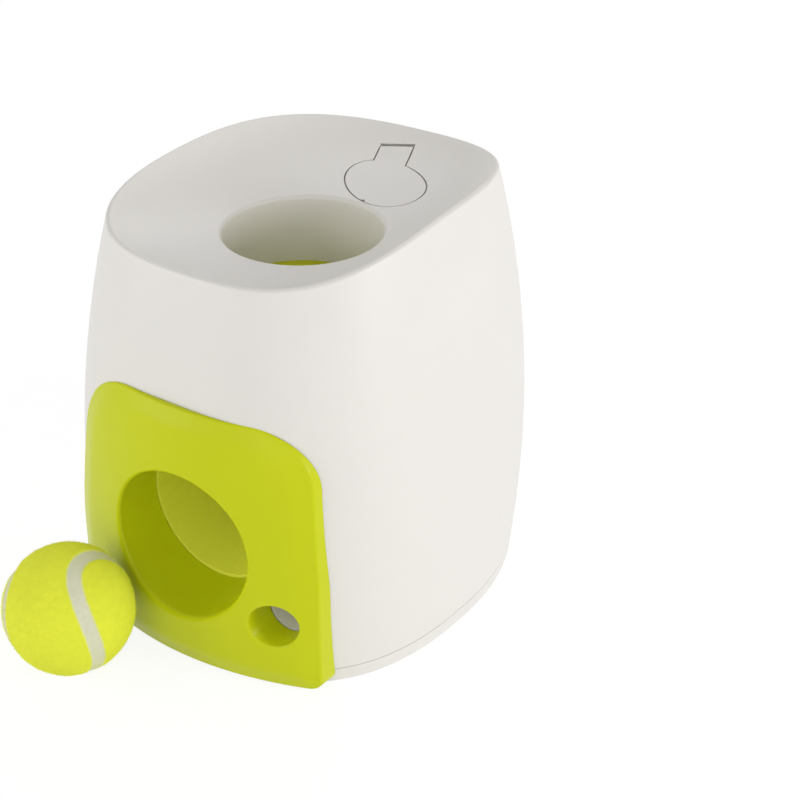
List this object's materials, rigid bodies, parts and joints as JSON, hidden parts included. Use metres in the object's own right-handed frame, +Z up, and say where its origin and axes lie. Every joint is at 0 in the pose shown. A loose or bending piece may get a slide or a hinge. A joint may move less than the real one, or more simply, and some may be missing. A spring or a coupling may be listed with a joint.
{
  "type": "dog ball and treat machine",
  "caption": "Free-standing dog fetch toy: a ball dropped in the scooped top tips a paddle, rolls out of the front tunnel and lets a treat drop to a small outlet.",
  "frame": {"origin": "on the floor, below the middle of the body, in the plane of the tray's flat underside", "axes": "+X to the machine's left as it faces you (the viewer's right), -Y to the front with the ball exit, +Z up"},
  "size_m": [0.2074, 0.3208, 0.2253],
  "materials": {
    "white_plastic": "satin",
    "lime_plastic": "satin",
    "grey_plastic": "matte",
    "steel": "bright",
    "nylon": "matte",
    "rubber": "matte",
    "felt": "felt"
  },
  "bodies": {
    "housing": {"body_shell": "white_plastic", "base_tray": "white_plastic", "front_panel": "lime_plastic", "ball_duct": "grey_plastic", "duct_cradle": "grey_plastic", "drum_stand": "grey_plastic", "treat_hopper": "grey_plastic", "treat_chute": "grey_plastic", "lid_pin": "steel", "base_screw_1": "steel", "base_screw_2": "steel", "base_screw_3": "steel", "base_screw_4": "steel", "panel_screw_1": "steel", "panel_screw_2": "steel", "panel_screw_3": "steel", "panel_screw_4": "steel", "shaft_bush_1": "nylon", "shaft_bush_2": "nylon", "foot_1": "rubber", "foot_2": "rubber", "foot_3": "rubber", "foot_4": "rubber"},
    "trigger": {"trigger_paddle": "lime_plastic", "counterweight": "steel", "cross_shaft": "steel", "treat_drum": "lime_plastic", "shaft_clip_1": "steel", "shaft_clip_2": "steel"},
    "lid": {"treat_lid": "white_plastic"},
    "ball": {"tennis_ball": "felt"}
  },
  "joints": [
    {"name": "trigger_swing", "type": "hinge", "parent": "housing", "child": "trigger", "pos_m": [0.0023, 0.04, 0.142], "axis": [1, 0, 0], "range_deg": [0, 90]},
    {"name": "lid_hinge", "type": "hinge", "parent": "housing", "child": "lid", "pos_m": [-0.00588, 0.0878, 0.20983], "axis": [-0.9417, -0.3243, -0.0894], "range_deg": [0, 68]},
    {"name": "ball_roll", "type": "slide", "parent": "housing", "child": "ball", "axis": [0, -1, 0], "range_m": [0, 0.4]}
  ]
}
